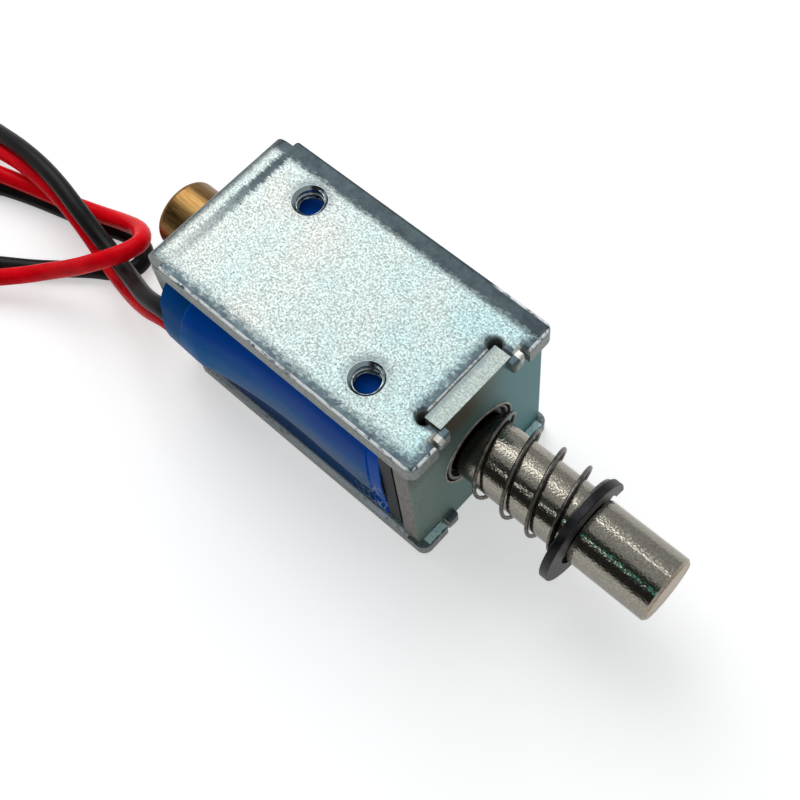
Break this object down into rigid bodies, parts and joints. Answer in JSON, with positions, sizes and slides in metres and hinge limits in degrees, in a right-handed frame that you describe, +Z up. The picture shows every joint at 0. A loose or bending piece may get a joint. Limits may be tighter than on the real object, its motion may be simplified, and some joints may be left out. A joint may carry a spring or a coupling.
{
  "type": "open-frame solenoid",
  "caption": "Small open-frame push and pull solenoid for a lock, with a sprung round plunger, a clip, a brass guide tube and a pair of free leads.",
  "frame": {"origin": "middle of the bottom flange's outer face, which stands on the surface", "axes": "+X along the plunger towards its tip, +Z up through the flange with the tapped holes"},
  "size_m": [0.1005, 0.0306, 0.0184],
  "materials": {
    "zinc_steel": "zinc plated, satin, mottled",
    "plate_steel": "zinc plated, dull",
    "bright_metal": "bright",
    "bobbin_nylon": "moulded, dull",
    "enamelled_copper": "varnished wire",
    "clear_film": "clear film",
    "blue_tape": "glossy adhesive tape",
    "brass": "drawn tube, satin",
    "core_steel": "turned",
    "pad_rubber": "soft",
    "spring_steel": "drawn wire",
    "red_insulation": "soft insulation, glossy",
    "black_insulation": "soft insulation, satin",
    "tinned_copper": "tinned strands",
    "solder": "solder",
    "sleeve_plastic": "thin sleeve",
    "plunger_steel": "ground and nickel plated",
    "black_oxide_steel": "black oxide"
  },
  "bodies": {
    "housing": {"frame_bracket": "zinc_steel", "front_plate": "plate_steel", "bore_ring": "bright_metal", "bobbin": "bobbin_nylon", "coil_winding": "enamelled_copper", "joint_film": "clear_film", "tape_wrap": "blue_tape", "guide_tube": "brass", "fixed_core": "core_steel", "damper_pad": "pad_rubber", "return_spring": "spring_steel", "red_lead": "red_insulation", "black_lead": "black_insulation", "red_tip": "tinned_copper", "black_tip": "tinned_copper", "red_splice": "solder", "black_splice": "solder", "red_sleeve": "sleeve_plastic", "black_sleeve": "sleeve_plastic", "red_winding_end": "enamelled_copper", "black_winding_end": "enamelled_copper"},
    "plunger_group": {"plunger": "plunger_steel", "e_clip": "black_oxide_steel"}
  },
  "joints": [
    {"name": "plunger_slide", "type": "slide", "parent": "housing", "child": "plunger_group", "axis": [1, 0, 0], "range_m": [-0.008, 0], "stiffness_N_per_m": 170, "deforming": ["return_spring"]}
  ]
}
